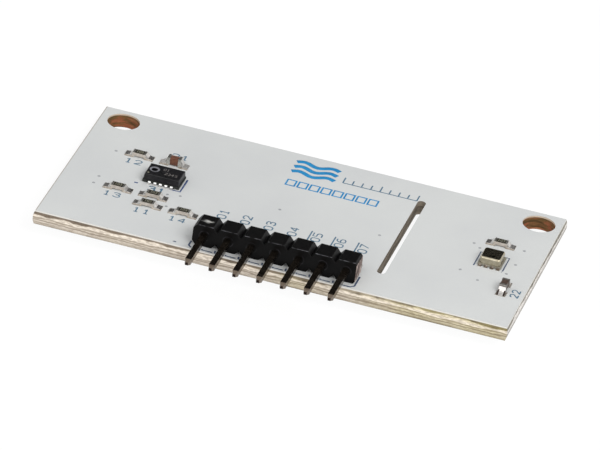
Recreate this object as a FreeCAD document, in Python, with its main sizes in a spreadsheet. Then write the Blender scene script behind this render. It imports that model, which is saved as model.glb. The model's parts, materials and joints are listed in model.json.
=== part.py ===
import FreeCAD, Part
import math
import os
import Sketcher
from FreeCAD import Placement, Rotation, Vector

# Air quality sensor module: a scored circuit board with a seven-way right-angle pin header,
# a gas sensor, a climate sensor under a metal lid, six chip resistors and two chip capacitors.
# Origin: midpoint of the two mounting holes, on the board's underside.
# +X along the board's long side, +Y away from the header, +Z up through the board.

os.makedirs("parts", exist_ok=True)
doc = FreeCAD.newDocument("AirQualityModule")

SIZES = [
    # Board
    ("board_length", 51.0, "outline along X, across the scored edges"),
    ("board_width", 25.4, "outline along Y, across the scored edges"),
    ("board_thickness", 1.6, "laminate"),
    ("outline_shift", -0.12, "outline centre from the drilled pattern, along X"),
    ("back_margin", 2.54, "hole line to the back edge"),
    ("side_margin", 2.64, "mounting hole to the side edge, before the shift"),
    ("score_depth", 0.5, "height of each scored bevel"),
    ("score_inset", 0.14, "how far each scored bevel leans in"),
    ("hole_diameter", 3.5, "mounting hole"),
    ("slot_width", 0.9, "milled slot"),
    ("slot_gap", 1.61, "end of the header's strip to the slot's centre"),
    ("slot_back_margin", 3.79, "back edge to the slot"),
    ("slot_front_margin", 4.61, "front edge to the slot"),
    # Pin header
    ("pin_count", 7, "ways"),
    ("pin_pitch", 2.54, "way to way"),
    ("row_margin", 5.08, "front edge to the row of pin holes"),
    ("pin_width", 0.64, "side of the square wire"),
    ("pin_height", 1.27, "wire axis above the board"),
    ("mating_length", 6.45, "housing front to the mating tips"),
    ("tail_length", 1.4, "board's underside to the tail tips"),
    ("pin_bend", 0.26, "inner radius of the bend"),
    ("tip_width", 0.3, "side of the tip's end face"),
    ("tip_length", 0.55, "length of the tip's taper"),
    ("housing_depth", 2.4, "front face to back face"),
    ("housing_height", 2.45, "board top to housing top"),
    ("housing_bevel_across", 0.42, "bevel of each segment, along X"),
    ("housing_bevel_rise", 0.5, "bevel of each segment, along Z"),
    ("housing_setback", 1.57, "row of holes to the back face"),
    ("housing_trim", 0.2, "missing from the last segment, where it was snapped from a strip"),
    ("housing_edge", 0.05, "bevel of the outer edges"),
    # Plated holes and their solder
    ("plating", 0.05, "barrel wall"),
    ("pin_clearance", 0.05, "wire's corner to the barrel"),
    ("ring_margin", 0.3, "hole's wall to the copper ring's rim"),
    ("ring_thickness", 0.05, "copper ring"),
    ("cone_below", 0.95, "solder cone under the board"),
    ("cone_above", 0.45, "solder cone over the board"),
    ("cone_neck", 0.02, "solder left round the wire's corners at a cone's end"),
    # Lands and solder of the surface parts
    ("land_thickness", 0.05, "copper land"),
    ("solder_film", 0.03, "solder between land and part"),
    ("solder_rim", 0.03, "solder at the land's outer end"),
    ("solder_lean", 0.04, "how far each side of a joint leans in"),
    # Chip resistors and capacitors
    ("chip_length", 1.6, "over the end caps"),
    ("chip_width", 0.8, "across"),
    ("chip_land_out", 1.55, "chip centre to the land's outer end"),
    ("chip_land_in", 0.55, "chip centre to the land's inner end"),
    ("chip_land_side", 0.15, "chip's side to the land's side"),
    ("resistor_height", 0.45, "over the end caps"),
    ("resistor_wrap", 0.27, "end cap over the top and bottom"),
    ("resistor_bevel", 0.08, "bevel of the cap's upper end edge"),
    ("cap_metal", 0.05, "end cap metal"),
    ("coating_gap", 0.03, "coating to end cap"),
    ("coating_border", 0.05, "coating to the ceramic's side"),
    ("coating_height", 0.06, "coating over the ceramic"),
    ("capacitor_height", 0.85, "over the end caps"),
    ("capacitor_wrap", 0.36, "end cap round the body"),
    ("capacitor_round", 0.08, "rounding of an end cap"),
    ("chip_fillet_share", 0.75, "solder rise against the end cap's height"),
    # Gas sensor
    ("gas_length", 4.0, "base along X"),
    ("gas_width", 2.7, "base along Y"),
    ("gas_base", 0.25, "base thickness"),
    ("gas_cover_inset", 0.08, "cover inside the base's edge"),
    ("gas_cover_height", 0.67, "cover"),
    ("gas_cover_wall", 0.22, "cover wall and roof"),
    ("gas_cover_draft", 4.0, "lean of the cover's walls, in degrees"),
    ("gas_cover_edge", 0.05, "bevel of the cover's upper edges"),
    ("gas_vent_margin", 0.85, "base's left end to the vent"),
    ("gas_vent_y", 0.1, "vent from the sensor's centre"),
    ("gas_vent_hole", 0.5, "vent through the roof"),
    ("gas_vent_ring", 1.0, "shallow ring round the vent"),
    ("gas_vent_sink", 0.05, "depth of the ring"),
    ("gas_pads", 5, "lands on each long side"),
    ("gas_pad_pitch", 0.6, "land to land"),
    ("gas_pad_width", 0.34, "land"),
    ("gas_die_side", 1.0, "silicon die, square"),
    # Climate sensor
    ("climate_width", 2.5, "base along X and Y"),
    ("climate_base", 0.2, "base thickness"),
    ("climate_lid_inset_x", 0.14, "lid inside the base's edge, along X"),
    ("climate_lid_inset_y", 0.1, "lid inside the base's edge, along Y"),
    ("climate_lid_height", 0.75, "lid"),
    ("climate_lid_metal", 0.1, "lid's roof"),
    ("climate_lid_wall", 0.15, "lid's walls"),
    ("climate_lid_corner", 0.3, "lid's upright corners"),
    ("climate_lid_round", 0.18, "lid's upper edges"),
    ("climate_vent_x", 0.2, "vent from the sensor's centre"),
    ("climate_vent_y", -0.55, "vent from the sensor's centre"),
    ("climate_vent_hole", 0.25, "vent through the lid"),
    ("climate_pads", 4, "lands on each side"),
    ("climate_pad_pitch", 0.65, "land to land"),
    ("climate_pad_width", 0.38, "land"),
    ("climate_die_side", 0.7, "silicon die, square"),
    # Lands and dies of both sensors
    ("sensor_land_in", 0.35, "land under the base's edge"),
    ("sensor_land_out", 0.24, "land outside the base's edge"),
    ("sensor_fillet_share", 0.75, "solder rise against the base's thickness"),
    ("die_height", 0.2, "silicon die"),
    ("die_gap", 0.15, "die to die"),
]

# Where the surface parts sit: from the mounting hole on their side towards the board's middle,
# and from the board's centre line towards the back.
LAYOUT = [
    ("gas", "left", 7.56, -0.04),
    ("climate", "right", 2.46, -0.19),
    ("resistor_1", "left", 7.56, -5.99),
    ("resistor_2", "left", 3.74, 3.74),
    ("resistor_3", "left", 3.74, -4.04),
    ("resistor_4", "left", 11.43, -5.99),
    ("resistor_5", "left", 7.56, -3.94),
    ("resistor_6", "right", 2.51, 3.81),
    ("capacitor_1", "left", 7.56, 3.74),
    ("capacitor_2", "right", -0.09, -5.09),
]
SENSORS = [name for name, side, from_hole, from_middle in LAYOUT if name in ("gas", "climate")]
CHIPS = [name for name, side, from_hole, from_middle in LAYOUT if name not in SENSORS]
TURNED = ["capacitor_2"]

sheet = doc.addObject("Spreadsheet::Sheet", "Sizes")
table = list(SIZES)
for name, side, from_hole, from_middle in LAYOUT:
    table.append((name + "_from_hole", from_hole, "along X, from the %s mounting hole" % side))
    table.append((name + "_from_middle", from_middle, "along Y, from the board's centre line"))
for row, (alias, value, note) in enumerate(table, start=1):
    sheet.set("A%d" % row, alias)
    sheet.set("B%d" % row, str(value))
    sheet.set("C%d" % row, note)
    sheet.setAlias("B%d" % row, alias)
doc.recompute()


def size(alias):
    """The value of one named cell."""
    return float(sheet.get(alias))


def cell(text):
    """An expression with each alias written as $alias turned into a reference to the sheet."""
    return text.replace("$", "Sizes.")


def number(text):
    """The present value of an expression on the sheet."""
    result = sheet.evalExpression(text.replace("$", ""))
    return float(getattr(result, "Value", result))


# Expressions that several pieces share

HOLE_SPAN = "($board_length - 2 * $side_margin)"
MIDDLE_Y = "($back_margin - $board_width / 2)"
ROW_Y = "($back_margin - $board_width + $row_margin)"
FIRST_PIN = "(-($pin_count - 1) / 2 * $pin_pitch)"
PIN_SPAN = "(($pin_count - 1) * $pin_pitch)"
STRIP_END = "($pin_count / 2 * $pin_pitch)"
PIN_HOLE = "($pin_width * sqrt(2) + 2 * $pin_clearance + 2 * $plating)"
PIN_REACH = "($housing_setback + $housing_depth + $mating_length)"
PIN_TAIL = "($board_thickness + $tail_length)"
LAND_TOP = "($board_thickness + $land_thickness)"
PART_SEAT = "(%s + $solder_film)" % LAND_TOP
HOLES = {"left": "(-%s / 2 + $%s_from_hole)", "right": "(%s / 2 - $%s_from_hole)"}
PLACES = {name: (HOLES[side] % (HOLE_SPAN, name), "(%s + $%s_from_middle)" % (MIDDLE_Y, name))
          for name, side, from_hole, from_middle in LAYOUT}

# How far a hollow solder face lies from its lower corner, as a share of its run and rise.
HOLLOW = 0.32
# Lengths under this count as nothing.
TINY = 1e-5


def new_body(label, at=("0", "0", "0"), turned=False):
    """A body with its own label, placed by three expressions."""
    body = doc.addObject("PartDesign::Body", label)
    body.Label = label
    if turned:
        body.Placement = Placement(Vector(0, 0, 0), Rotation(Vector(0, 0, 1), 90))
    for axis, text in zip("xyz", at):
        body.setExpression("Placement.Base." + axis, cell(text))
    return body


def new_sketch(body, name, role, at=("0", "0", "0")):
    """A sketch on one of the body's own planes, moved by expressions in the plane's own axes."""
    sketch = body.newObject("Sketcher::SketchObject", name)
    plane = [item for item in body.Origin.OriginFeatures if item.Role == role][0]
    sketch.AttachmentSupport = [(plane, "")]
    sketch.MapMode = "FlatFace"
    for axis, text in zip("xyz", at):
        sketch.setExpression("AttachmentOffset.Base." + axis, cell(text))
    return sketch


def bind(sketch, constraint, name, text):
    """Adds a named constraint and ties it to the sheet."""
    index = sketch.addConstraint(constraint)
    sketch.renameConstraint(index, name)
    sketch.setExpression("Constraints." + name, cell(text))


def draw_polygon(sketch, corners):
    """A closed run of lines; each corner is a pair of expressions, across and up."""
    points = [Vector(number(across), number(up), 0) for across, up in corners]
    lines = []
    for index, point in enumerate(points):
        lines.append(sketch.addGeometry(Part.LineSegment(point, points[(index + 1) % len(points)])))
    for index, line in enumerate(lines):
        following = lines[(index + 1) % len(lines)]
        sketch.addConstraint(Sketcher.Constraint("Coincident", line, 2, following, 1))
    for index, (across, up) in enumerate(corners):
        point = points[index]
        line = lines[index]
        bind(sketch, Sketcher.Constraint("DistanceX", -1, 1, line, 1, point.x), "across_%d" % index, across)
        bind(sketch, Sketcher.Constraint("DistanceY", -1, 1, line, 1, point.y), "up_%d" % index, up)


def draw_rectangle(sketch, width, height):
    """A rectangle centred on the sketch's origin."""
    right = "(%s) / 2" % width
    left = "-(%s) / 2" % width
    top = "(%s) / 2" % height
    bottom = "-(%s) / 2" % height
    draw_polygon(sketch, [(left, bottom), (right, bottom), (right, top), (left, top)])


def draw_circle(sketch, diameter):
    """A circle centred on the sketch's origin."""
    value = number(diameter)
    circle = sketch.addGeometry(Part.Circle(Vector(0, 0, 0), Vector(0, 0, 1), value / 2))
    sketch.addConstraint(Sketcher.Constraint("Coincident", circle, 3, -1, 1))
    bind(sketch, Sketcher.Constraint("Diameter", circle, value), "diameter", diameter)


def draw_slot(sketch, length, width):
    """A round-ended slot along the sketch's Y, centred on its origin."""
    radius = number(width) / 2
    reach = number(length) / 2 - radius
    upper = sketch.addGeometry(
        Part.ArcOfCircle(Part.Circle(Vector(0, reach, 0), Vector(0, 0, 1), radius), 0, math.pi))
    left = sketch.addGeometry(Part.LineSegment(Vector(-radius, reach, 0), Vector(-radius, -reach, 0)))
    lower = sketch.addGeometry(
        Part.ArcOfCircle(Part.Circle(Vector(0, -reach, 0), Vector(0, 0, 1), radius), math.pi, 2 * math.pi))
    right = sketch.addGeometry(Part.LineSegment(Vector(radius, -reach, 0), Vector(radius, reach, 0)))
    ring = (upper, left, lower, right)
    for index, item in enumerate(ring):
        sketch.addConstraint(Sketcher.Constraint("Tangent", item, 2, ring[(index + 1) % 4], 1))
    sketch.addConstraint(Sketcher.Constraint("Vertical", left))
    sketch.addConstraint(Sketcher.Constraint("Equal", upper, lower))
    sketch.addConstraint(Sketcher.Constraint("Symmetric", upper, 3, lower, 3, -1, 1))
    bind(sketch, Sketcher.Constraint("Radius", upper, radius), "radius", "(%s) / 2" % width)
    bind(sketch, Sketcher.Constraint("DistanceY", lower, 3, upper, 3, 2 * reach),
         "centres", "(%s) - (%s)" % (length, width))


def draw_octagon(sketch, width, height, bevel_across, bevel_rise):
    """A rectangle with four bevelled corners, centred on the sketch's origin."""
    side = "(%s) / 2" % width
    flat = "((%s) / 2 - (%s))" % (width, bevel_across)
    top = "(%s) / 2" % height
    shoulder = "((%s) / 2 - (%s))" % (height, bevel_rise)
    draw_polygon(sketch, [("-" + flat, "-" + top), (flat, "-" + top), (side, "-" + shoulder), (side, shoulder),
                          (flat, top), ("-" + flat, top), ("-" + side, shoulder), ("-" + side, "-" + shoulder)])


def pad(body, name, sketch, length, reverse=False, taper=None):
    """Extrudes a sketch; reverse turns it against the plane's normal."""
    feature = body.newObject("PartDesign::Pad", name)
    feature.Profile = sketch
    feature.Reversed = reverse
    feature.setExpression("Length", cell(length))
    if taper:
        feature.setExpression("TaperAngle", cell(taper))
    body.Tip = feature
    return feature


def pocket(body, name, sketch, depth, reverse=False):
    """Cuts a sketch to a depth, down from its plane unless it is reversed."""
    feature = body.newObject("PartDesign::Pocket", name)
    feature.Profile = sketch
    feature.Reversed = reverse
    feature.setExpression("Length", cell(depth))
    body.Tip = feature
    return feature


def row_of(body, name, features, sketch, span, count):
    """Repeats features along the sketch's horizontal axis."""
    doc.recompute()
    pattern = body.newObject("PartDesign::LinearPattern", name)
    pattern.Originals = features
    pattern.Direction = (sketch, ["H_Axis"])
    pattern.setExpression("Length", cell(span))
    pattern.setExpression("Occurrences", cell(count))
    body.Tip = pattern
    return pattern


def round_edges(body, name, base, edges, radius):
    """Rounds the named edges of a feature."""
    feature = body.newObject("PartDesign::Fillet", name)
    feature.Base = (base, edges)
    feature.setExpression("Radius", cell(radius))
    body.Tip = feature
    return feature


def bevel_edges(body, name, base, edges, width):
    """Bevels the named edges of a feature."""
    feature = body.newObject("PartDesign::Chamfer", name)
    feature.Base = (base, edges)
    feature.setExpression("Size", cell(width))
    body.Tip = feature
    return feature


def edges_where(shape, wanted):
    """Names of the edges whose bounding box passes a test."""
    return ["Edge%d" % index for index, edge in enumerate(shape.Edges, start=1) if wanted(edge.BoundBox)]


def block(label, at, length, width, height, turned=False):
    """A plain rectangular solid that stands on its own origin."""
    body = new_body(label, at, turned)
    outline = new_sketch(body, label + "_outline", "XY_Plane")
    draw_rectangle(outline, length, width)
    pad(body, label + "_pad", outline, height)
    return body


def make_board():
    """Laminate with scored edges, mounting holes, milled slot and pin holes."""
    body = new_body("circuit_board")
    web_outline = new_sketch(body, "web_outline", "XY_Plane", ("$outline_shift", MIDDLE_Y, "$score_depth"))
    draw_rectangle(web_outline, "$board_length", "$board_width")
    pad(body, "web", web_outline, "$board_thickness - 2 * $score_depth")

    lean = "-atan($score_inset / $score_depth)"
    upper_outline = new_sketch(body, "upper_outline", "XY_Plane",
                               ("$outline_shift", MIDDLE_Y, "$board_thickness - $score_depth"))
    draw_rectangle(upper_outline, "$board_length", "$board_width")
    pad(body, "upper_score", upper_outline, "$score_depth", taper=lean)
    lower_outline = new_sketch(body, "lower_outline", "XY_Plane",
                               ("$outline_shift", MIDDLE_Y, "$score_depth"))
    draw_rectangle(lower_outline, "$board_length", "$board_width")
    pad(body, "lower_score", lower_outline, "$score_depth", reverse=True, taper=lean)

    hole_outline = new_sketch(body, "hole_outline", "XY_Plane",
                              ("-%s / 2" % HOLE_SPAN, "0", "$board_thickness"))
    draw_circle(hole_outline, "$hole_diameter")
    hole = pocket(body, "mounting_hole", hole_outline, "$board_thickness")
    row_of(body, "mounting_holes", [hole], hole_outline, HOLE_SPAN, "2")

    slot_y = "%s + ($slot_front_margin - $slot_back_margin) / 2" % MIDDLE_Y
    slot_outline = new_sketch(body, "slot_outline", "XY_Plane",
                              (STRIP_END + " + $slot_gap", slot_y, "$board_thickness"))
    draw_slot(slot_outline, "$board_width - $slot_front_margin - $slot_back_margin", "$slot_width")
    pocket(body, "slot", slot_outline, "$board_thickness")

    pin_outline = new_sketch(body, "pin_outline", "XY_Plane", (FIRST_PIN, ROW_Y, "$board_thickness"))
    draw_circle(pin_outline, PIN_HOLE)
    pin_hole = pocket(body, "pin_hole", pin_outline, "$board_thickness")
    row_of(body, "pin_holes", [pin_hole], pin_outline, PIN_SPAN, "$pin_count")
    return body


def make_housing():
    """One moulding: a row of bevelled segments with a square bore each, snapped from a longer strip."""
    front = ROW_Y + " - $housing_setback - $housing_depth"
    body = new_body("header_housing", ("0", front, "$board_thickness"))

    segment_outline = new_sketch(body, "segment_outline", "XZ_Plane", (FIRST_PIN, "$housing_height / 2", "0"))
    draw_octagon(segment_outline, "$pin_pitch", "$housing_height", "$housing_bevel_across",
                 "$housing_bevel_rise")
    segment = pad(body, "segment", segment_outline, "$housing_depth", reverse=True)
    strip = row_of(body, "segments", [segment], segment_outline, PIN_SPAN, "$pin_count")

    doc.recompute()
    depth = size("housing_depth")
    outer = edges_where(strip.Shape, lambda box: box.YLength < TINY and
                        (box.YMax < TINY or box.YMin > depth - TINY))
    bevel_edges(body, "moulded_edges", strip, outer, "$housing_edge")

    bore_outline = new_sketch(body, "bore_outline", "XZ_Plane", (FIRST_PIN, "$pin_height", "0"))
    draw_rectangle(bore_outline, "$pin_width", "$pin_width")
    bore = pocket(body, "bore", bore_outline, "$housing_depth")
    row_of(body, "bores", [bore], bore_outline, PIN_SPAN, "$pin_count")

    trim_outline = new_sketch(body, "trim_outline", "XZ_Plane", (STRIP_END, "$housing_height / 2", "0"))
    draw_rectangle(trim_outline, "2 * $housing_trim", "2 * $housing_height")
    pocket(body, "snapped_end", trim_outline, "$housing_depth")
    return body


def draw_bent_path(sketch):
    """The wire's axis from the mating end, round the bend, down to the tail."""
    height = size("pin_height")
    radius = size("pin_bend") + size("pin_width") / 2
    front = size("tip_length") - number(PIN_REACH)
    foot = size("tip_length") - number(PIN_TAIL)
    run = sketch.addGeometry(Part.LineSegment(Vector(front, height, 0), Vector(-radius, height, 0)))
    turn = sketch.addGeometry(Part.ArcOfCircle(
        Part.Circle(Vector(-radius, height - radius, 0), Vector(0, 0, 1), radius), 0, math.pi / 2))
    leg = sketch.addGeometry(Part.LineSegment(Vector(0, height - radius, 0), Vector(0, foot, 0)))
    sketch.addConstraint(Sketcher.Constraint("Horizontal", run))
    sketch.addConstraint(Sketcher.Constraint("Vertical", leg))
    sketch.addConstraint(Sketcher.Constraint("Tangent", run, 2, turn, 2))
    sketch.addConstraint(Sketcher.Constraint("Tangent", turn, 1, leg, 1))
    sketch.addConstraint(Sketcher.Constraint("PointOnObject", leg, 2, -2))
    bind(sketch, Sketcher.Constraint("Radius", turn, radius), "bend", "$pin_bend + $pin_width / 2")
    bind(sketch, Sketcher.Constraint("DistanceX", run, 1, -1, 1, -front), "reach",
         PIN_REACH + " - $tip_length")
    bind(sketch, Sketcher.Constraint("DistanceY", -1, 1, run, 1, height), "rise", "$pin_height")
    bind(sketch, Sketcher.Constraint("DistanceY", leg, 2, -1, 1, -foot), "tail",
         PIN_TAIL + " - $tip_length")


def taper_tip(body, name, role, shoulder_at, tip_at):
    """A four-sided taper from the full wire to the small end face."""
    shoulder = new_sketch(body, name + "_shoulder", role, shoulder_at)
    draw_rectangle(shoulder, "$pin_width", "$pin_width")
    end = new_sketch(body, name + "_end", role, tip_at)
    draw_rectangle(end, "$tip_width", "$tip_width")
    doc.recompute()
    loft = body.newObject("PartDesign::AdditiveLoft", name)
    loft.Profile = shoulder
    loft.Sections = [end]
    loft.Ruled = True
    body.Tip = loft


def make_pin(index):
    """Square wire, bent once, tapered at both ends."""
    column = "%s + %d * $pin_pitch" % (FIRST_PIN, index)
    body = new_body("header_pin_%d" % (index + 1), (column, ROW_Y, "$board_thickness"))
    path = new_sketch(body, "wire_path", "YZ_Plane")
    draw_bent_path(path)
    front = PIN_REACH + " - $tip_length"
    foot = "$tip_length - " + PIN_TAIL
    section = new_sketch(body, "wire_section", "XZ_Plane", ("0", "$pin_height", front))
    draw_rectangle(section, "$pin_width", "$pin_width")
    doc.recompute()
    wire = body.newObject("PartDesign::AdditivePipe", "wire")
    wire.Profile = section
    wire.Spine = path
    body.Tip = wire
    taper_tip(body, "mating_tip", "XZ_Plane", ("0", "$pin_height", front), ("0", "$pin_height", PIN_REACH))
    taper_tip(body, "tail_tip", "XY_Plane", ("0", "0", foot), ("0", "0", "-" + PIN_TAIL))
    return body


def revolve_about_z(outline):
    """A solid turned about Z from a closed outline of radius and height pairs."""
    points = [Vector(radius, 0, height) for radius, height in outline]
    face = Part.Face(Part.makePolygon(points + points[:1]))
    return face.revolve(Vector(0, 0, 0), Vector(0, 0, 1), 360)


def pin_places():
    """Where the pins stand on the board's underside."""
    return [Vector(number(FIRST_PIN) + step * size("pin_pitch"), number(ROW_Y), 0)
            for step in range(int(size("pin_count")))]


def group(label, shapes):
    """Separate solids under one label."""
    feature = doc.addObject("Part::Feature", label)
    feature.Label = label
    feature.Shape = Part.makeCompound(shapes)
    feature.Placement = Placement()
    return feature


def make_pin_joints():
    """A joint in every pin hole: plated barrel and rings, fused with the solder that climbs the pin."""
    side = size("pin_width")
    hole = number(PIN_HOLE) / 2
    ring = hole + size("ring_margin")
    neck = side / math.sqrt(2) + size("cone_neck")
    top = size("board_thickness")
    over = top + size("ring_thickness")
    under = -size("ring_thickness")
    crown = over + size("cone_above")
    foot = under - size("cone_below")
    outline = [(0, foot), (neck, foot), (ring, under), (ring, 0), (hole, 0),
               (hole, top), (ring, top), (ring, over), (neck, crown), (0, crown)]
    cone = revolve_about_z(outline)
    height = crown - foot
    wire = Part.makeBox(side, side, 3 * height, Vector(-side / 2, -side / 2, foot - height))
    joint = cone.cut(wire)
    return group("pin_solder_joints", [joint.translated(place) for place in pin_places()])


# Chip resistors and capacitors

def seat(name, above="0"):
    """Three expressions for a place above a surface part's seat."""
    across, back = PLACES[name]
    return (across, back, "%s + %s" % (PART_SEAT, above))


def make_end_caps(chip, height, wrap, hollow_width, rounding=None, bevel=None):
    """Two metal caps: a block the size of the chip, hollowed lengthwise and parted in the middle."""
    caps = new_body(chip + "_end_caps", seat(chip), chip in TURNED)
    outline = new_sketch(caps, "chip_outline", "XY_Plane")
    draw_rectangle(outline, "$chip_length", "$chip_width")
    whole = pad(caps, "whole", outline, height)
    if rounding:
        doc.recompute()
        reach = size("chip_length") / 2
        ends = edges_where(whole.Shape, lambda box: box.XMin > reach - TINY or box.XMax < TINY - reach)
        round_edges(caps, "rounded_ends", whole, ends, rounding)
    if bevel:
        doc.recompute()
        top = number(height)
        reach = size("chip_length") / 2
        ends = edges_where(whole.Shape, lambda box: box.ZMin > top - TINY
                           and (box.XMin > reach - TINY or box.XMax < TINY - reach))
        bevel_edges(caps, "beveled_ends", whole, ends, bevel)
    hollow = new_sketch(caps, "hollow_outline", "YZ_Plane",
                        ("0", "(%s) / 2" % height, "$chip_length / 2 - $cap_metal"))
    draw_rectangle(hollow, hollow_width, "(%s) - 2 * $cap_metal" % height)
    pocket(caps, "hollow", hollow, "$chip_length - 2 * $cap_metal")
    band = new_sketch(caps, "band_outline", "XY_Plane", ("0", "0", height))
    draw_rectangle(band, "$chip_length - 2 * (%s)" % wrap, "2 * $chip_width")
    pocket(caps, "parting", band, height)


def make_resistor(chip):
    """Ceramic slab, dark coating on top, and two folded end caps."""
    block(chip + "_ceramic", seat(chip, "$cap_metal"),
          "$chip_length - 2 * $cap_metal", "$chip_width", "$resistor_height - 2 * $cap_metal", chip in TURNED)
    block(chip + "_coating", seat(chip, "$resistor_height - $cap_metal"),
          "$chip_length - 2 * $resistor_wrap - 2 * $coating_gap",
          "$chip_width - 2 * $coating_border", "$coating_height", chip in TURNED)
    make_end_caps(chip, "$resistor_height", "$resistor_wrap", "2 * $chip_width", bevel="$resistor_bevel")


def make_capacitor(chip):
    """Ceramic block with a rounded metal cap over each end."""
    block(chip + "_ceramic", seat(chip, "$cap_metal"),
          "$chip_length - 2 * $cap_metal", "$chip_width - 2 * $cap_metal",
          "$capacitor_height - 2 * $cap_metal", chip in TURNED)
    make_end_caps(chip, "$capacitor_height", "$capacitor_wrap", "$chip_width - 2 * $cap_metal",
                  "$capacitor_round")


def solder_joint(inner, wall, outer, rise, foot):
    """One joint along +X: a film under the part, then a rise with a hollow face and leaning sides."""
    film = size("solder_film")
    head = foot - 2 * size("solder_lean")
    rim = size("solder_rim")
    top = film + rise
    hollow = Vector(wall + HOLLOW * (outer - wall), 0, rim + HOLLOW * (top - rim))
    corners = [Vector(inner, 0, 0), Vector(outer, 0, 0), Vector(outer, 0, rim), hollow,
               Vector(wall, 0, top), Vector(wall, 0, film), Vector(inner, 0, film)]
    side_view = Part.Face(Part.makePolygon(corners + corners[:1]))
    wedge = side_view.extrude(Vector(0, foot, 0))
    wedge.translate(Vector(0, -foot / 2, 0))
    outline = [Vector(inner, -foot / 2, 0), Vector(inner, foot / 2, 0), Vector(inner, foot / 2, rim),
               Vector(inner, head / 2, top), Vector(inner, -head / 2, top), Vector(inner, -foot / 2, rim)]
    end_view = Part.Face(Part.makePolygon(outline + outline[:1]))
    return wedge.common(end_view.extrude(Vector(outer - inner, 0, 0)))


def spread(shape, places, height):
    """Copies of a shape, each turned about Z and moved to its place."""
    copies = []
    for across, back, turn in places:
        move = Placement(Vector(across, back, height), Rotation(Vector(0, 0, 1), turn))
        copies.append(shape.transformed(move.toMatrix()))
    return copies


def chip_ends(chip):
    """The two ends of a chip: its centre and the turn that faces outwards."""
    across, back = [number(text) for text in PLACES[chip]]
    turn = 90 if chip in TURNED else 0
    return [(across, back, turn), (across, back, turn + 180)]


def sensor_edges(name):
    """Every land of a sensor: its place on the base's edge and the turn that faces outwards."""
    across, back = [number(text) for text in PLACES[name]]
    half = size(name + "_width") / 2
    count = int(size(name + "_pads"))
    first = across - (count - 1) / 2 * size(name + "_pad_pitch")
    places = []
    for step in range(count):
        column = first + step * size(name + "_pad_pitch")
        places.append((column, back - half, -90))
        places.append((column, back + half, 90))
    return places


def make_chip_solder():
    """Two joints on every chip part."""
    solids = []
    for chip in CHIPS:
        rise = size("chip_fillet_share") * size(chip.split("_")[0] + "_height")
        joint = solder_joint(size("chip_land_in"), size("chip_length") / 2, size("chip_land_out"),
                             rise, size("chip_width"))
        solids.extend(spread(joint, chip_ends(chip), number(LAND_TOP)))
    return group("chip_solder_joints", solids)


def make_sensor_solder(name):
    """A small joint on each land of a sensor."""
    foot = size(name + "_pad_width")
    rise = size("sensor_fillet_share") * size(name + "_base")
    joint = solder_joint(-size("sensor_land_in"), 0, size("sensor_land_out"),
                         rise, foot)
    return group(name + "_sensor_solder", spread(joint, sensor_edges(name), number(LAND_TOP)))


def make_lands():
    """Flat copper lands under every surface part."""
    thick = size("land_thickness")
    top = size("board_thickness")
    wide = size("chip_width") + 2 * size("chip_land_side")
    inner = size("chip_land_in")
    chip_land = Part.makeBox(size("chip_land_out") - inner, wide, thick, Vector(inner, -wide / 2, 0))
    solids = []
    for chip in CHIPS:
        solids.extend(spread(chip_land, chip_ends(chip), top))
    reach = size("sensor_land_in") + size("sensor_land_out")
    for name in SENSORS:
        wide = size(name + "_pad_width")
        sensor_land = Part.makeBox(reach, wide, thick, Vector(-size("sensor_land_in"), -wide / 2, 0))
        solids.extend(spread(sensor_land, sensor_edges(name), top))
    return group("copper_lands", solids)


# Gas sensor

def make_gas_sensor():
    """Laminate base, hollow cover with a ringed vent, and two dies on the base."""
    block("gas_sensor_base", seat("gas"), "$gas_length", "$gas_width", "$gas_base")

    cover = new_body("gas_sensor_cover", seat("gas", "$gas_base"))
    outline = new_sketch(cover, "cover_outline", "XY_Plane")
    draw_rectangle(outline, "$gas_length - 2 * $gas_cover_inset", "$gas_width - 2 * $gas_cover_inset")
    shell = pad(cover, "cover_block", outline, "$gas_cover_height", taper="-$gas_cover_draft")
    doc.recompute()
    top = size("gas_cover_height")
    rim = edges_where(shell.Shape, lambda box: box.ZMin > top - TINY)
    bevel_edges(cover, "cover_bevel", shell, rim, "$gas_cover_edge")
    cavity = new_sketch(cover, "cavity_outline", "XY_Plane")
    draw_rectangle(cavity, "$gas_length - 2 * $gas_cover_inset - 2 * $gas_cover_wall",
                   "$gas_width - 2 * $gas_cover_inset - 2 * $gas_cover_wall")
    pocket(cover, "cavity", cavity, "$gas_cover_height - $gas_cover_wall", reverse=True)
    vent_place = ("$gas_vent_margin - $gas_length / 2", "$gas_vent_y", "$gas_cover_height")
    vent = new_sketch(cover, "vent_outline", "XY_Plane", vent_place)
    draw_circle(vent, "$gas_vent_hole")
    pocket(cover, "vent", vent, "$gas_cover_wall")
    ring = new_sketch(cover, "vent_ring_outline", "XY_Plane", vent_place)
    draw_circle(ring, "$gas_vent_ring")
    pocket(cover, "vent_ring", ring, "$gas_vent_sink")

    make_die_pair("gas")


def make_die_pair(name):
    """A sensing die and a control die side by side on a sensor's base."""
    side = "$%s_die_side" % name
    across, back, base_top = seat(name, "$%s_base" % name)
    for role, sign in (("sensing", "-"), ("control", "+")):
        block("%s_%s_die" % (name, role), ("%s %s (%s + $die_gap) / 2" % (across, sign, side), back, base_top),
              side, side, "$die_height")


# Climate sensor

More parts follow.
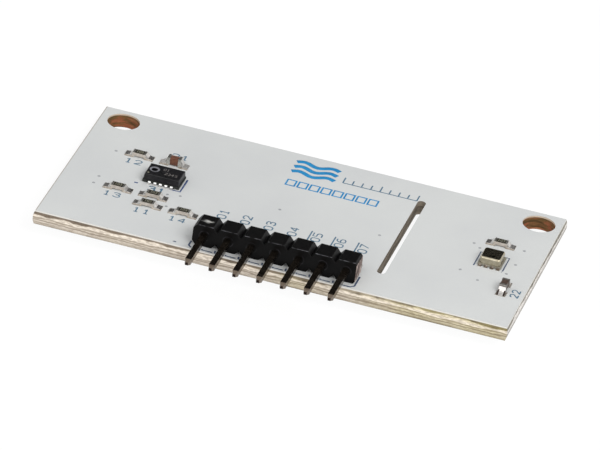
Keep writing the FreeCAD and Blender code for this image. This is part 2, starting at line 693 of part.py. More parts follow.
def make_climate_sensor():
    """Laminate base, drawn metal lid with a vent, and two dies on the base."""
    block("climate_sensor_base", seat("climate"), "$climate_width", "$climate_width", "$climate_base")

    lid = new_body("climate_sensor_lid", seat("climate", "$climate_base"))
    outline = new_sketch(lid, "lid_outline", "XY_Plane")
    draw_rectangle(outline, "$climate_width - 2 * $climate_lid_inset_x",
                   "$climate_width - 2 * $climate_lid_inset_y")
    drawn = pad(lid, "lid_block", outline, "$climate_lid_height")
    doc.recompute()
    top = size("climate_lid_height")
    upright = edges_where(drawn.Shape, lambda box: box.ZLength > top - TINY)
    corners = round_edges(lid, "lid_corners", drawn, upright, "$climate_lid_corner")
    doc.recompute()
    rim = edges_where(corners.Shape, lambda box: box.ZMin > top - TINY)
    round_edges(lid, "lid_rounding", corners, rim, "$climate_lid_round")
    cavity = new_sketch(lid, "lid_cavity_outline", "XY_Plane")
    draw_rectangle(cavity, "$climate_width - 2 * $climate_lid_inset_x - 2 * $climate_lid_wall",
                   "$climate_width - 2 * $climate_lid_inset_y - 2 * $climate_lid_wall")
    pocket(lid, "lid_cavity", cavity, "$climate_lid_height - $climate_lid_metal", reverse=True)
    vent = new_sketch(lid, "lid_vent_outline", "XY_Plane",
                      ("$climate_vent_x", "$climate_vent_y", "$climate_lid_height"))
    draw_circle(vent, "$climate_vent_hole")
    pocket(lid, "lid_vent", vent, "$climate_lid_metal")

    make_die_pair("climate")


def check_document():
    """Stops with the names of failed objects."""
    doc.recompute()
    failed = [item.Name for item in doc.Objects if "Invalid" in item.State or "Error" in item.State]
    if failed:
        raise RuntimeError("failed objects: " + ", ".join(failed))


def sub_parts():
    """The finished pieces: every body and every group of solids."""
    return [item for item in doc.Objects if item.TypeId in ("PartDesign::Body", "Part::Feature")]


make_board()
make_housing()
for pin_index in range(int(size("pin_count"))):
    make_pin(pin_index)
make_pin_joints()
make_lands()
make_gas_sensor()
make_sensor_solder("gas")
make_climate_sensor()
make_sensor_solder("climate")
for chip_name in CHIPS:
    if chip_name.startswith("resistor"):
        make_resistor(chip_name)
    else:
        make_capacitor(chip_name)
make_chip_solder()
check_document()

pieces = sub_parts()
for piece in pieces:
    if piece.Shape.isNull() or not piece.Shape.isValid():
        raise RuntimeError("bad shape: " + piece.Label)
for piece in pieces:
    piece.Shape.exportStep(os.path.join("parts", piece.Label + ".step"))
    box = piece.Shape.BoundBox
    print("%-28s solids %2d volume %9.4f x %8.3f %8.3f y %8.3f %8.3f z %7.3f %7.3f" % (
        piece.Label, len(piece.Shape.Solids), piece.Shape.Volume,
        box.XMin, box.XMax, box.YMin, box.YMax, box.ZMin, box.ZMax))
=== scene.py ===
import json
import math

import bmesh
import bpy
from mathutils import Matrix, Vector


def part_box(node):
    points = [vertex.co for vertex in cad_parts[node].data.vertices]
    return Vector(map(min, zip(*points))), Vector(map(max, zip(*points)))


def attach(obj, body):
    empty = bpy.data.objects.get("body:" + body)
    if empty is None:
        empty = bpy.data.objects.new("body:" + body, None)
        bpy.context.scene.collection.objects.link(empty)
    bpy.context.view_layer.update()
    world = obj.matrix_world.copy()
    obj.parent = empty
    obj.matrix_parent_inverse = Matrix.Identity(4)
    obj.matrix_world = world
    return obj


# Looks of the air quality sensor module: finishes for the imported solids, the print on the board,
# the small plated holes, the marks on the gas sensor and the resistors, and the floor, lights and
# camera. Sizes are in millimetres, in the materials too, and are turned into metres where a mesh,
# a bump, a lamp or the camera is made.

MM = 0.001

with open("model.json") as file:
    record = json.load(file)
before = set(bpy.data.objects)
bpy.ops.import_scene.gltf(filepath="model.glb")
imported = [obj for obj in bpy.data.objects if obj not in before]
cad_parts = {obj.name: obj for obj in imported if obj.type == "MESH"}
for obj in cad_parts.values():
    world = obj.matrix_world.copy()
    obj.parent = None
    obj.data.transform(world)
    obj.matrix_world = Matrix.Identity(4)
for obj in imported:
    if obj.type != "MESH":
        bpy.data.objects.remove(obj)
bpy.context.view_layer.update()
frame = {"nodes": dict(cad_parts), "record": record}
nodes = frame["nodes"]


def low(node):
    """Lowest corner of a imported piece, in millimetres."""
    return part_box(node)[0] / MM


def high(node):
    """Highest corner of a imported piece, in millimetres."""
    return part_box(node)[1] / MM


def middle(node):
    """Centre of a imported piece, in millimetres."""
    return (low(node) + high(node)) / 2


def pieces_named(start, end=""):
    """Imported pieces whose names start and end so, in order."""
    return sorted(name for name in nodes if name.startswith(start) and name.endswith(end))


PINS = pieces_named("header_pin_")
RESISTORS = pieces_named("resistor", "_ceramic")
RESISTOR_TOPS = pieces_named("resistor", "_coating")

# The board: its faces, the two mounting holes and the milled slot
BOARD_TOP = high("circuit_board").z
BOARD_LEFT = low("circuit_board").x
BOARD_RIGHT = high("circuit_board").x
BOARD_FRONT = low("circuit_board").y
BOARD_BACK = high("circuit_board").y
HOLE_X = 22.86
HOLE_RADIUS = 1.75
SLOT_X = 10.5
SLOT_WIDTH = 0.9
SLOT_REACH = 11.5
# How near a point lies to an edge, a wall or a face that it is part of
EDGE_REACH = 0.3
WALL_REACH = 0.05
FACE_REACH = 0.002
SKIN_REACH = 0.02

# The header: its row of holes, and the pins' level in front of the housing
ROW_Y = middle("pin_solder_joints").y
PITCH = middle(PINS[1]).x - middle(PINS[0]).x
PIN_LEVEL = BOARD_TOP + 1.27

# The gas sensor's vent, from the cover's centre, and the ring round it
VENT_SHIFT = (-1.15, 0.1)
VENT_RING = 1.0

# Print: ink height, stroke widths and the cell of one numeral
INK_HEIGHT = 0.02
THIN_LINE = 0.15
BOLD_LINE = 0.2
CELL_LINE = 0.26
WAVE_LINE = 0.62
NUMERAL_WIDTH = 0.7
NUMERAL_HEIGHT = 0.9
NUMERAL_STEP = 1.05
# From a resistor's centre to its number
LABEL_SHIFT_X = -0.25
LABEL_SHIFT_Y = -1.4

# Plated holes that join the two sides of the board, from the photograph
VIAS = [
    (-21.7, -6.5), (-21.7, -12.6), (-21.8, -14.2), (-12.8, -12.6), (-14.1, -12.9), (-13.5, -15.4),
    (-10.6, -22.1), (-2.6, -10.3), (8.3, -10.5), (17.7, -7.3), (18.5, -8.0), (17.8, -13.4),
    (20.0, -14.7), (22.9, -6.4), (22.8, -9.7), (22.4, -12.0),
]
VIA_RADIUS = 0.17
VIA_RISE = 0.012
VIA_RIM = 0.06

# Camera, fitted to the board's corners, holes and pins in a 600 by 450 pixel frame; angles in degrees
IMAGE_WIDTH = 600
IMAGE_HEIGHT = 450
VIEW_AZIMUTH = 11.973
VIEW_ELEVATION = 28.926
VIEW_ROLL = 8.058
VIEW_DISTANCE = 781.62
VIEW_TARGET = (-0.12, -10.16, 0.0)
FOCAL_PIXELS = 7508.0
CENTRE_PIXEL = (301.07, 227.97)
SENSOR_WIDTH = 36.0


# Node trees

def add(tree, kind, settings=None, inputs=None):
    """A node with its own settings; each input is a plain value or another node's output."""
    made = tree.nodes.new(kind)
    for key, value in (settings or {}).items():
        setattr(made, key, value)
    for key, value in (inputs or {}).items():
        if isinstance(value, bpy.types.NodeSocket):
            tree.links.new(value, made.inputs[key])
        else:
            made.inputs[key].default_value = value
    return made


def calc(tree, operation, *values, clamp=False):
    """One sum on numbers."""
    settings = {"operation": operation, "use_clamp": clamp}
    return add(tree, "ShaderNodeMath", settings, dict(enumerate(values))).outputs[0]


def times(tree, first, *others):
    """Numbers multiplied; masks multiplied are where all of them hold."""
    product = first
    for other in others:
        product = calc(tree, "MULTIPLY", product, other)
    return product


def minus(tree, first, second):
    """A number less another."""
    return calc(tree, "SUBTRACT", first, second)


def apart(tree, first, second):
    """Distance between two numbers."""
    return calc(tree, "ABSOLUTE", minus(tree, first, second))


def below(tree, value, limit):
    """A mask: 1 where the value is under the limit."""
    return calc(tree, "LESS_THAN", value, limit)


def above(tree, value, limit):
    """A mask: 1 where the value is over the limit."""
    return calc(tree, "GREATER_THAN", value, limit)


def near(tree, value, centre, reach):
    """A mask: 1 where the value lies within the reach of the centre."""
    return calc(tree, "COMPARE", value, centre, reach)


def spread(tree, value, start, end, out_start=0.0, out_end=1.0):
    """Stretches a number from one range to another and keeps it there."""
    limits = {"From Min": start, "From Max": end, "To Min": out_start, "To Max": out_end}
    return add(tree, "ShaderNodeMapRange", {"clamp": True}, {"Value": value, **limits}).outputs["Result"]


def radius_of(tree, first, second):
    """Distance from an axis, out of two sides at right angles."""
    squares = [calc(tree, "MULTIPLY", side, side) for side in (first, second)]
    return calc(tree, "SQRT", calc(tree, "ADD", *squares))


def tone(red, green, blue):
    """A colour from screen values of 0 to 255."""
    return tuple((value / 255) ** 2.2 for value in (red, green, blue)) + (1.0,)


def blend(tree, share, first, second, mode="MIX"):
    """Mixes two colours."""
    settings = {"data_type": "RGBA", "blend_type": mode}
    return add(tree, "ShaderNodeMix", settings, {0: share, 6: first, 7: second}).outputs[2]


def ramp(tree, share, stops):
    """A colour ramp from (place, colour) stops."""
    made = add(tree, "ShaderNodeValToRGB", inputs={"Fac": share})
    made.color_ramp.interpolation = "EASE"
    elements = made.color_ramp.elements
    for place, colour in stops[1:-1]:
        elements.new(place).color = colour
    elements[0].position, elements[0].color = stops[0]
    elements[len(stops) - 1].position, elements[len(stops) - 1].color = stops[-1]
    return made.outputs["Color"]


def point_of(tree):
    """The point on the object, in millimetres."""
    place = add(tree, "ShaderNodeTexCoord").outputs["Object"]
    return add(tree, "ShaderNodeVectorMath", {"operation": "SCALE"}, {0: place, "Scale": 1 / MM}).outputs[0]


def sides_of(tree, point):
    """A point's X, Y and Z."""
    return add(tree, "ShaderNodeSeparateXYZ", inputs={"Vector": point}).outputs


def noise(tree, point, feature, detail=3.0, stretch=None):
    """Noise with features about that many millimetres across; stretch divides them along each axis."""
    if stretch:
        point = add(tree, "ShaderNodeMapping", inputs={"Vector": point, "Scale": stretch}).outputs["Vector"]
    inputs = {"Vector": point, "Scale": 1 / feature, "Detail": detail}
    return add(tree, "ShaderNodeTexNoise", inputs=inputs).outputs["Fac"]


def new_group(name, inputs, outputs):
    """An empty node group with its sockets, and its two end nodes."""
    group = bpy.data.node_groups.new(name, "ShaderNodeTree")
    for label, kind, value in inputs:
        socket = group.interface.new_socket(label, in_out="INPUT", socket_type="NodeSocket" + kind)
        socket.default_value = value
    for label, kind in outputs:
        group.interface.new_socket(label, in_out="OUTPUT", socket_type="NodeSocket" + kind)
    return group, group.nodes.new("NodeGroupInput"), group.nodes.new("NodeGroupOutput")


def make_grain_group():
    """Fine grain: a roughness that varies round its own value, and a height for the bump."""
    group, entry, end = new_group(
        "surface_grain",
        [("Scale", "Float", 5.0), ("Roughness", "Float", 0.4), ("Spread", "Float", 0.1),
         ("Stretch", "Vector", (1.0, 1.0, 1.0))],
        [("Roughness", "Float"), ("Height", "Float")])
    point = add(group, "ShaderNodeMapping",
                inputs={"Vector": point_of(group), "Scale": entry.outputs["Stretch"]}).outputs["Vector"]
    grain = add(group, "ShaderNodeTexNoise",
                inputs={"Vector": point, "Scale": entry.outputs["Scale"], "Detail": 3.0}).outputs["Fac"]
    change = times(group, minus(group, grain, 0.5), entry.outputs["Spread"])
    rough = calc(group, "ADD", entry.outputs["Roughness"], change, clamp=True)
    group.links.new(rough, end.inputs["Roughness"])
    group.links.new(grain, end.inputs["Height"])
    return group


def make_patch_group():
    """Two close tones in soft patches, as handling, flux and batch colour leave them."""
    group, entry, end = new_group(
        "tone_patches",
        [("Scale", "Float", 0.5), ("Dark", "Color", (0.1, 0.1, 0.1, 1.0)),
         ("Light", "Color", (0.2, 0.2, 0.2, 1.0))],
        [("Color", "Color")])
    patches = add(group, "ShaderNodeTexNoise",
                  inputs={"Vector": point_of(group), "Scale": entry.outputs["Scale"], "Detail": 4.0})
    share = spread(group, patches.outputs["Fac"], 0.35, 0.65)
    colour = blend(group, share, entry.outputs["Dark"], entry.outputs["Light"])
    group.links.new(colour, end.inputs["Color"])
    return group


GRAIN = make_grain_group()
PATCHES = make_patch_group()


# Materials

def new_material(name):
    """An empty material: its node tree and its shader."""
    material = bpy.data.materials.new(name)
    material.use_nodes = True
    shader = material.node_tree.nodes["Principled BSDF"]
    return material, material.node_tree, shader


def patches_of(tree, size, dark, light):
    """The tone patches at a size in millimetres."""
    made = add(tree, "ShaderNodeGroup", {"node_tree": PATCHES},
               {"Scale": 1 / size, "Dark": dark, "Light": light})
    return made.outputs["Color"]


def bump_into(tree, shader, height, relief):
    """Turns a height into the shader's normal, with a relief in millimetres."""
    bump = add(tree, "ShaderNodeBump", inputs={"Strength": 1.0, "Distance": relief * MM, "Height": height})
    tree.links.new(bump.outputs["Normal"], shader.inputs["Normal"])


def set_shader(tree, shader, colour, grain, roughness, swing, relief,
               metallic=0.0, specular=0.5, stretch=(1.0, 1.0, 1.0)):
    """Feeds a colour, and grain of a size and relief in millimetres, into the shader."""
    tree.links.new(colour, shader.inputs["Base Color"])
    made = add(tree, "ShaderNodeGroup", {"node_tree": GRAIN},
               {"Scale": 1 / grain, "Roughness": roughness, "Spread": swing, "Stretch": stretch})
    tree.links.new(made.outputs["Roughness"], shader.inputs["Roughness"])
    bump_into(tree, shader, made.outputs["Height"], relief)
    shader.inputs["Metallic"].default_value = metallic
    shader.inputs["Specular IOR Level"].default_value = specular


def make_finish(name, dark, light, patch, grain, roughness, swing, relief, **others):
    """A finish of two close tones with grained roughness and relief."""
    material, tree, shader = new_material(name)
    colour = patches_of(tree, patch, dark, light)
    set_shader(tree, shader, colour, grain, roughness, swing, relief, **others)
    return material


def make_ink(name, dark, light, patch=0.5, roughness=0.5):
    """Printed ink of two close tones."""
    return make_finish(name, dark, light, patch, 0.06, roughness, 0.15, 0.002)


def mask_colour(tree, point, sides):
    """White mask with a fine speckle, and painted shade along the board's left edge."""
    mask = patches_of(tree, 9.0, tone(206, 208, 208), tone(211, 213, 212))
    speckle = noise(tree, point, 0.25)
    mask = blend(tree, times(tree, speckle, 0.05), mask, tone(180, 182, 184))
    from_left = minus(tree, sides["X"], BOARD_LEFT)
    # Painted shade: a brown line along the board's left edge.
    left_edge_painted_shade = spread(tree, from_left, 0.28, 0.2, 0.0, 0.6)
    return blend(tree, left_edge_painted_shade, mask, tone(150, 138, 122))


def groove_colour(tree, point, sides):
    """Dark groove of the score, right under the mask: brown at the left, olive at the right, blotched."""
    groove = ramp(tree, spread(tree, sides["X"], -25.0, 25.0), [
        (0.0, tone(116, 103, 90)),
        (0.5, tone(128, 116, 100)),
        (0.7, tone(176, 165, 148)),
        (0.85, tone(160, 150, 120)),
        (1.0, tone(134, 124, 88)),
    ])
    blotches = spread(tree, noise(tree, point, 0.9, 4.0, (0.6, 0.6, 1.0)), 0.46, 0.62, 0.0, 0.8)
    return blend(tree, blotches, groove, tone(98, 87, 75))


def laminate_colour(tree, point, sides, rise, level, fibres):
    """Cut laminate: grey and cream plies, the groove above them, and frayed fibres."""
    plies = ramp(tree, level, [
        (0.0, tone(138, 127, 114)),
        (0.08, tone(180, 169, 155)),
        (0.26, tone(212, 201, 187)),
        (0.35, tone(146, 134, 120)),
        (0.43, tone(216, 205, 190)),
        (0.5, tone(160, 147, 132)),
        (0.58, tone(240, 229, 214)),
        (0.74, tone(236, 224, 208)),
    ])
    waver = minus(tree, noise(tree, point, 1.5, 4.0, (0.5, 0.5, 1.0)), 0.5)
    in_groove = spread(tree, calc(tree, "ADD", rise, times(tree, waver, 0.55)), 0.73, 0.79)
    cut = blend(tree, in_groove, plies, groove_colour(tree, point, sides))
    frayed = spread(tree, fibres, 0.42, 0.62, 0.0, 0.5)
    return blend(tree, frayed, cut, tone(140, 126, 110))


def tint_edges(tree, point, sides, rise, level, cut):
    """Yellows the front edge with resin towards the right, greys the right edge, and pales the rim."""
    from_front = minus(tree, sides["Y"], BOARD_FRONT)
    from_right = minus(tree, BOARD_RIGHT, sides["X"])
    on_front = below(tree, from_front, EDGE_REACH)
    in_patches = spread(tree, noise(tree, point, 6.0, 2.0), 0.3, 0.7, -0.2, 0.6)
    to_right = spread(tree, sides["X"], -4.0, 20.0, -0.2, 0.7)
    resin = calc(tree, "ADD", in_patches, to_right, clamp=True)
    clear_band = times(tree, near(tree, level, 0.64, 0.09), 0.7)
    resin = times(tree, resin, on_front, minus(tree, 1.0, clear_band))
    cut = blend(tree, resin, cut, tone(242, 242, 219), "MULTIPLY")
    on_right = times(tree, below(tree, from_right, EDGE_REACH), below(tree, from_right, from_front))
    greyed = add(tree, "ShaderNodeHueSaturation", inputs={"Saturation": 0.4, "Value": 1.0, "Color": cut})
    cut = blend(tree, on_right, cut, greyed.outputs["Color"])
    return blend(tree, spread(tree, rise, 0.89, 0.93), cut, tone(213, 211, 206))


def drilled_colour(tree, point, rise):
    """Wall of a mounting hole: brown layers, olive higher up, and a pale line under the mask."""
    drilled = ramp(tree, noise(tree, point, 0.9, 4.0, (0.5, 0.5, 2.2)), [
        (0.34, tone(82, 60, 38)),
        (0.46, tone(116, 84, 54)),
        (0.54, tone(148, 88, 62)),
        (0.66, tone(160, 112, 80)),
    ])
    drilled = blend(tree, spread(tree, rise, 0.45, 0.8, 0.0, 0.45), drilled, tone(96, 82, 50))
    return blend(tree, spread(tree, rise, 0.86, 0.92), drilled, tone(206, 190, 170))


def hole_mask(tree, sides):
    """The walls of the two mounting holes."""
    across = minus(tree, calc(tree, "ABSOLUTE", sides["X"]), HOLE_X)
    return below(tree, radius_of(tree, across, sides["Y"]), HOLE_RADIUS + WALL_REACH)


def slot_mask(tree, sides):
    """The wall of the milled slot."""
    beside = below(tree, apart(tree, sides["X"], SLOT_X), SLOT_WIDTH / 2 + WALL_REACH)
    along = below(tree, apart(tree, sides["Y"], middle("circuit_board").y), SLOT_REACH)
    return times(tree, beside, along)


def make_board_finish():
    """White mask above and below, bare laminate on the scored edges, brown drilled walls."""
    material, tree, shader = new_material("white_mask_and_laminate")
    point = point_of(tree)
    sides = sides_of(tree, point)
    streaks = noise(tree, point, 1.2, 4.0, (0.35, 0.35, 3.0))
    fibres = noise(tree, point, 0.1, 3.0, (0.2, 0.2, 1.0))
    rise = spread(tree, sides["Z"], 0.0, BOARD_TOP)
    level = calc(tree, "ADD", rise, times(tree, minus(tree, streaks, 0.5), 0.4))

    cut = laminate_colour(tree, point, sides, rise, level, fibres)
    cut = tint_edges(tree, point, sides, rise, level, cut)
    cut = blend(tree, hole_mask(tree, sides), cut, drilled_colour(tree, point, rise))
    milled = ramp(tree, streaks, [(0.3, tone(104, 96, 86)), (0.7, tone(150, 140, 126))])
    cut = blend(tree, slot_mask(tree, sides), cut, milled)

    half = BOARD_TOP / 2
    on_wall = below(tree, apart(tree, sides["Z"], half), half - FACE_REACH)
    colour = blend(tree, on_wall, mask_colour(tree, point, sides), cut)
    tree.links.new(colour, shader.inputs["Base Color"])
    rough = calc(tree, "ADD", 0.5, times(tree, on_wall, 0.35))
    tree.links.new(rough, shader.inputs["Roughness"])
    ripples = noise(tree, point, 0.8)
    torn = calc(tree, "ADD", times(tree, streaks, 0.8), times(tree, fibres, 0.4))
    height = calc(tree, "ADD", times(tree, on_wall, torn), times(tree, ripples, 0.03))
    bump_into(tree, shader, height, 0.15)
    shader.inputs["Specular IOR Level"].default_value = 0.22
    return material


def make_pin_finish():
    """Dull plated wire with a painted highlight towards the mating tip, and a dark cut face."""
    material, tree, shader = new_material("plated_wire")
    sides = sides_of(tree, point_of(tree))
    from_tip = minus(tree, sides["Y"], low(PINS[0]).y)
    highlight_fade_end, highlight_full, cut_face = 0.5, 0.3, 0.03
    plating = patches_of(tree, 0.8, tone(90, 79, 69), tone(122, 110, 97))
    # Painted highlight: a lighter tone over the last half millimetre towards the mating tip.
    plating = blend(tree, spread(tree, from_tip, highlight_fade_end, highlight_full), plating, tone(112, 100, 89))
    colour = blend(tree, below(tree, from_tip, cut_face), plating, tone(44, 37, 33))
    set_shader(tree, shader, colour, 0.1, 0.22, 0.15, 0.003, metallic=1.0, stretch=(1.0, 0.15, 0.6))
    return material


def make_housing_finish():
    """Black moulding: a painted highlight along the front top edge, painted highlight rings round the pin
    holes, a painted glint from a worn patch on the first way's top, and a snapped end.
    """
    material, tree, shader = new_material("black_moulding")
    point = point_of(tree)
    sides = sides_of(tree, point)
    from_front = minus(tree, sides["Y"], low("header_housing").y)
    under_top = minus(tree, high("header_housing").z, sides["Z"])
    from_end = minus(tree, high("header_housing").x, sides["X"])
    across = minus(tree, sides["X"], middle(PINS[0]).x)

    colour = patches_of(tree, 0.9, tone(8, 8, 9), tone(14, 13, 13))
    # Painted highlight: pale grey lines along the front top edge, broken up by noise.
    highlight_breakup = spread(tree, noise(tree, point, 0.6, 4.0), 0.4, 0.65)
    highlight_fade_end, highlight_full = 0.07, 0.03
    near_front = spread(tree, from_front, highlight_fade_end, highlight_full)
    near_top = spread(tree, under_top, highlight_fade_end, highlight_full)
    colour = blend(tree, times(tree, near_front, near_top, highlight_breakup), colour, tone(104, 104, 108))

    # Painted highlight: faint grey rings round the pin holes on the front face.
    highlight_ring_radius, highlight_ring_line = 0.56, 0.04
    in_way = calc(tree, "WRAP", across, PITCH / 2, -PITCH / 2)
    from_pin = radius_of(tree, in_way, minus(tree, sides["Z"], PIN_LEVEL))
    on_front = below(tree, from_front, SKIN_REACH)
    ring = times(tree, near(tree, from_pin, highlight_ring_radius, highlight_ring_line), on_front)
    colour = blend(tree, times(tree, ring, highlight_breakup), colour, tone(46, 45, 48))

    # Painted highlight: a pale glint from a worn patch on the first way's top.
    glint_reach_x, glint_reach_y, glint_back = 0.8, 0.42, 1.15
    glint_x = calc(tree, "DIVIDE", across, glint_reach_x)
    glint_y = calc(tree, "DIVIDE", minus(tree, from_front, glint_back), glint_reach_y)
    glint_smear = noise(tree, point, 0.4, 5.0, (0.5, 1.6, 1.0))
    first_way_glint = minus(tree, times(tree, glint_smear, 2.2), radius_of(tree, glint_x, glint_y))
    first_way_glint = times(tree, spread(tree, first_way_glint, 0.3, 0.95), below(tree, under_top, SKIN_REACH))
    colour = blend(tree, first_way_glint, colour, tone(176, 176, 172))

    torn = ramp(tree, noise(tree, point, 0.5, 4.0, (1.0, 1.0, 0.5)), [
        (0.35, tone(34, 26, 24)),
        (0.5, tone(96, 76, 70)),
        (0.65, tone(176, 160, 152)),
    ])
    colour = blend(tree, below(tree, from_end, SKIN_REACH), colour, torn)
    set_shader(tree, shader, colour, 0.07, 0.42, 0.25, 0.004, specular=0.11)
    return material


def make_chip_joint_finish():
    """Solder on the chips' ends; the front foot of the last capacitor has painted shade at its corners."""
    material, tree, shader = new_material("chip_joint_solder")
    sides = sides_of(tree, point_of(tree))
    chip = middle("capacitor_2_ceramic")
    corner_aside, corner_reach = 0.36, 0.12
    foot_front, foot_height = 0.9, 0.42
    # Painted shade: dark corners on the last capacitor's front foot.
    corner_painted_shade = times(tree, near(tree, apart(tree, sides["X"], chip.x), corner_aside, corner_reach),
                    below(tree, sides["Y"], chip.y - foot_front),
                    below(tree, sides["Z"], BOARD_TOP + foot_height))
    bright = patches_of(tree, 0.3, *SOLDER_TONES)
    colour = blend(tree, corner_painted_shade, bright, tone(58, 48, 44))
    set_shader(tree, shader, colour, 0.12, 0.3, 0.18, 0.004, metallic=1.0)
    return material


def make_side_joint_finish():
    """Solder of the gas sensor's side lands: bright at the foot, with painted shade higher up the wall."""
    material, tree, shader = new_material("side_joint_solder")
    sides = sides_of(tree, point_of(tree))
    bright = patches_of(tree, 0.25, tone(190, 190, 190), tone(236, 236, 234))
    shade_start, shade_full = 0.2, 0.34
    # Painted shade: the solder turns dark above the foot.
    upper_wall_painted_shade = spread(tree, sides["Z"], BOARD_TOP + shade_start, BOARD_TOP + shade_full)
    colour = blend(tree, upper_wall_painted_shade, bright, tone(74, 70, 64))
    set_shader(tree, shader, colour, 0.12, 0.25, 0.18, 0.004, metallic=1.0)
    return material


def make_cover_finish():
    """Dark moulding of the gas sensor, paler in the shallow ring round its vent."""
    material, tree, shader = new_material("sensor_moulding")
    sides = sides_of(tree, point_of(tree))
    cover = middle("gas_sensor_cover")
    from_vent = radius_of(tree, minus(tree, sides["X"], cover.x + VENT_SHIFT[0]),
                          minus(tree, sides["Y"], cover.y + VENT_SHIFT[1]))
    ring_outside, ring_inside, ring_depth = 0.04, 0.14, 0.08
    ring = times(tree, below(tree, from_vent, VENT_RING / 2 + ring_outside),
                 above(tree, from_vent, VENT_RING / 2 - ring_inside),
                 above(tree, sides["Z"], high("gas_sensor_cover").z - ring_depth))
    moulded = patches_of(tree, 0.35, tone(15, 15, 17), tone(28, 27, 30))
    colour = blend(tree, ring, moulded, tone(132, 132, 138))
    set_shader(tree, shader, colour, 0.05, 0.36, 0.3, 0.003, specular=0.35)
    return material


SOLDER_TONES = (tone(176, 172, 169), tone(218, 215, 211))

# Finish of each material slot. After the two tones come the size of their patches and of the grain,
# the roughness and its swing, and the relief.
FINISHES = {
    "board": make_board_finish(),
    "tinned_copper": make_finish("tinned_copper", tone(168, 158, 146), tone(200, 194, 186),
                                 0.4, 0.15, 0.45, 0.3, 0.006, metallic=1.0),
    "housing_plastic": make_housing_finish(),
    "pin_metal": make_pin_finish(),
    "solder": make_finish("bright_solder", *SOLDER_TONES,
                          0.3, 0.12, 0.3, 0.18, 0.004, metallic=1.0),
    "sensor_laminate": make_finish("dark_laminate", tone(34, 36, 34), tone(52, 54, 50),
                                   0.5, 0.08, 0.55, 0.2, 0.004, specular=0.3),
    "cover_plastic": make_cover_finish(),
    "silicon": make_finish("polished_silicon", tone(88, 92, 104), tone(104, 108, 118),
                           0.4, 0.1, 0.12, 0.05, 0.0005, specular=0.8),
    "lid_metal": make_finish("drawn_lid", tone(164, 155, 133), tone(184, 176, 156),
                             0.5, 0.09, 0.2, 0.12, 0.0008, metallic=1.0, stretch=(0.3, 1.0, 1.0)),
    "white_ceramic": make_finish("white_ceramic", tone(168, 159, 149), tone(192, 184, 175),
                                 0.3, 0.06, 0.55, 0.15, 0.003),
    "dark_coating": make_finish("resistor_coating", tone(34, 33, 28), tone(64, 62, 52),
                                0.25, 0.08, 0.3, 0.2, 0.003),
    "brown_ceramic": make_finish("brown_ceramic", tone(90, 56, 42), tone(114, 73, 54),
                                 0.3, 0.06, 0.5, 0.2, 0.003),
    "end_cap_metal": make_finish("plated_end_caps", tone(186, 184, 178), tone(216, 214, 208),
                                 0.25, 0.06, 0.34, 0.2, 0.004, metallic=1.0),
}

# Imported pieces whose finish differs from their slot's
OWN_FINISHES = {
    "climate_sensor_base": make_finish("pale_laminate", tone(112, 108, 96), tone(138, 134, 120),
                                       0.4, 0.08, 0.5, 0.2, 0.003),
    "chip_solder_joints": make_chip_joint_finish(),
    "gas_sensor_solder": make_side_joint_finish(),
    "climate_sensor_solder": make_finish("dull_solder", tone(66, 58, 52), tone(132, 122, 112),
                                         0.25, 0.1, 0.3, 0.2, 0.004, metallic=1.0),
    # Painted shade: the last capacitor's end caps take a darker copy of the end-cap finish.
    "capacitor_2_end_caps": make_finish("shaded_end_caps", tone(112, 108, 104), tone(150, 145, 141),
                                        0.25, 0.06, 0.5, 0.2, 0.004, metallic=1.0),
    "capacitor_2_ceramic": make_finish("dark_brown_ceramic", tone(58, 45, 38), tone(80, 62, 52),
                                       0.3, 0.06, 0.5, 0.2, 0.003),
}

SLATE_INK = make_ink("slate_ink", tone(76, 106, 128), tone(94, 124, 145))
DEEP_INK = make_ink("deep_blue_ink", tone(46, 66, 112), tone(62, 84, 130))
DARK_INK = make_ink("dark_slate_ink", tone(58, 72, 98), tone(76, 90, 114))
BRIGHT_INK = make_ink("bright_blue_ink", tone(24, 128, 186), tone(34, 142, 200), 1.2, 0.45)
PALE_INK = make_finish("pale_ink", tone(120, 118, 104), tone(146, 144, 128), 0.2, 0.05, 0.5, 0.1, 0.001)
FAINT_MARK = make_finish("faint_marking", tone(96, 92, 90), tone(128, 123, 120),
                         0.2, 0.05, 0.5, 0.1, 0.001)
VIA_MASK = make_finish("mask_over_via", tone(150, 153, 156), tone(166, 168, 170),
                       0.2, 0.05, 0.45, 0.1, 0.002)


def dress(obj, material):
    """Gives an object one material."""
    obj.data.materials.clear()
    obj.data.materials.append(material)


def dress_packed_pieces():
    """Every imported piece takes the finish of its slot, or its own."""
    for entry in frame["record"]["subparts"]:
        node = entry["node"]
        dress(nodes[node], OWN_FINISHES.get(node, FINISHES[entry["material_slot"]]))


# Meshes

def new_piece(name, mesh, material):
    """Puts a mesh in the scene as a piece that rides on the board."""
    obj = bpy.data.objects.new(name, mesh)
    bpy.context.scene.collection.objects.link(obj)
    dress(obj, material)
    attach(obj, "root")


def mesh_from(name, shape):
    """Turns a bmesh into a mesh with outward faces."""
    bmesh.ops.recalc_face_normals(shape, faces=shape.faces)
    mesh = bpy.data.meshes.new(name)
    shape.to_mesh(mesh)
    shape.free()
    return mesh


